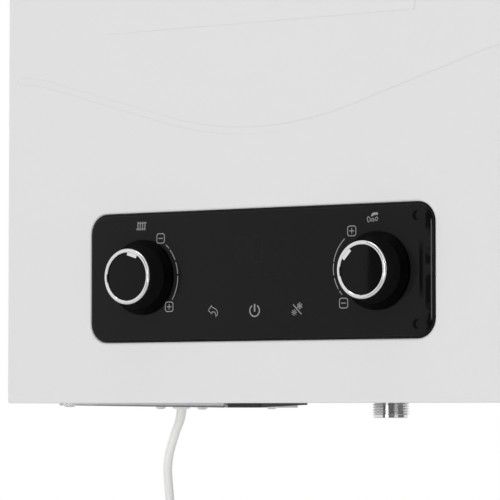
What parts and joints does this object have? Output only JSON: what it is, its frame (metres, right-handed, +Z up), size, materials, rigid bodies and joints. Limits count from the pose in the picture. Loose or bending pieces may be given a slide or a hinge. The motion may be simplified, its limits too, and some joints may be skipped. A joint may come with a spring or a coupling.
{
  "type": "wall-hung gas boiler",
  "caption": "Wall-hung gas combination boiler: white sheet casing, black control panel with turning knobs, fan flue on top and pipe stubs underneath.",
  "frame": {"origin": "middle between the two wall-bracket holes, on the wall plane", "axes": "+X right seen from the front, +Y into the wall, +Z up; the front faces -Y"},
  "size_m": [0.4259, 0.3206, 0.9781],
  "materials": {
    "white_paint": "semi-gloss powder coat",
    "zinc_steel": "zinc plated",
    "bright_screw": "nickel plated",
    "black_plastic": "fine matt",
    "grey_gland": "smooth",
    "grey_lead": "smooth sheath",
    "black_tie": "smooth",
    "black_gloss": "high gloss",
    "knob_black": "satin",
    "knob_chrome": "polished",
    "shaft_plastic": "smooth",
    "circuit_board": "satin",
    "sight_glass": "clear",
    "fibre_board": "fibrous",
    "copper": "drawn",
    "brass": "machined",
    "stainless": "brushed",
    "cast_alloy": "cast",
    "vessel_red": "gloss"
  },
  "bodies": {
    "casing": {"left_side_panel": "white_paint", "right_side_panel": "white_paint", "top_panel": "white_paint", "air_inlet_cover": "white_paint", "terminal_tray": "white_paint", "wall_bracket": "zinc_steel", "back_frame": "zinc_steel", "floor_plate": "zinc_steel", "chamber_shell": "zinc_steel", "chamber_cover": "zinc_steel", "combustion_box": "zinc_steel", "flue_hood": "zinc_steel", "fan_housing": "zinc_steel", "burner": "zinc_steel", "gas_manifold": "zinc_steel", "gas_pipe": "zinc_steel", "tray_screws": "bright_screw", "gas_stub": "bright_screw", "terminal_cover": "black_plastic", "control_box": "black_plastic", "fan_motor": "black_plastic", "diverter_motor": "black_plastic", "air_pressure_switch": "black_plastic", "safety_valve": "black_plastic", "cable_gland": "grey_gland", "mains_lead": "grey_lead", "lead_coil": "grey_lead", "mains_plug": "grey_lead", "lead_tie": "black_tie", "control_panel": "black_gloss", "encoders": "shaft_plastic", "display_board": "circuit_board", "main_board": "circuit_board", "sight_glass": "sight_glass", "insulation_panels": "fibre_board", "heat_exchanger": "copper", "flow_pipe": "copper", "return_pipe": "copper", "vessel_hose": "copper", "flow_block": "brass", "return_block": "brass", "plate_exchanger": "stainless", "electrodes": "stainless", "gas_valve": "cast_alloy", "pump_housing": "cast_alloy", "expansion_vessel": "vessel_red"},
    "cover": {"front_cover": "white_paint", "cover_screws": "bright_screw"},
    "heating_knob": {"heating_knob": "knob_black", "heating_knob_ring": "knob_chrome", "heating_knob_cap": "knob_black", "heating_shaft": "shaft_plastic"},
    "hot_water_knob": {"hot_water_knob": "knob_black", "hot_water_knob_ring": "knob_chrome", "hot_water_knob_cap": "knob_black", "hot_water_shaft": "shaft_plastic"},
    "fan_impeller": {"fan_impeller": "shaft_plastic"},
    "pump_rotor": {"pump_rotor": "shaft_plastic"},
    "diverter_spindle": {"diverter_spindle": "brass"},
    "filling_tap": {"filling_tap": "black_plastic"}
  },
  "joints": [
    {"name": "cover_pull", "type": "slide", "parent": "casing", "child": "cover", "axis": [0, -1, 0], "range_m": [0, 0.25]},
    {"name": "heating_knob_turn", "type": "hinge", "parent": "casing", "child": "heating_knob", "pos_m": [-0.0916, -0.301, -0.5955], "axis": [0, 1, 0], "range_deg": [0, 119]},
    {"name": "hot_water_knob_turn", "type": "hinge", "parent": "casing", "child": "hot_water_knob", "pos_m": [0.0946, -0.301, -0.5955], "axis": [0, 1, 0], "range_deg": [-87, 12]},
    {"name": "fan_spin", "type": "hinge", "parent": "casing", "child": "fan_impeller", "pos_m": [-0.032, -0.19, -0.015], "axis": [0, 1, 0], "continuous": true},
    {"name": "pump_spin", "type": "hinge", "parent": "casing", "child": "pump_rotor", "pos_m": [0.1004, -0.1, -0.518], "axis": [0, 1, 0], "continuous": true},
    {"name": "diverter_lift", "type": "slide", "parent": "casing", "child": "diverter_spindle", "axis": [0, 0, 1], "range_m": [0, 0.008]},
    {"name": "filling_tap_turn", "type": "hinge", "parent": "casing", "child": "filling_tap", "pos_m": [0.0755, -0.1, -0.67], "axis": [0, 0, -1], "range_deg": [0, 180]}
  ]
}
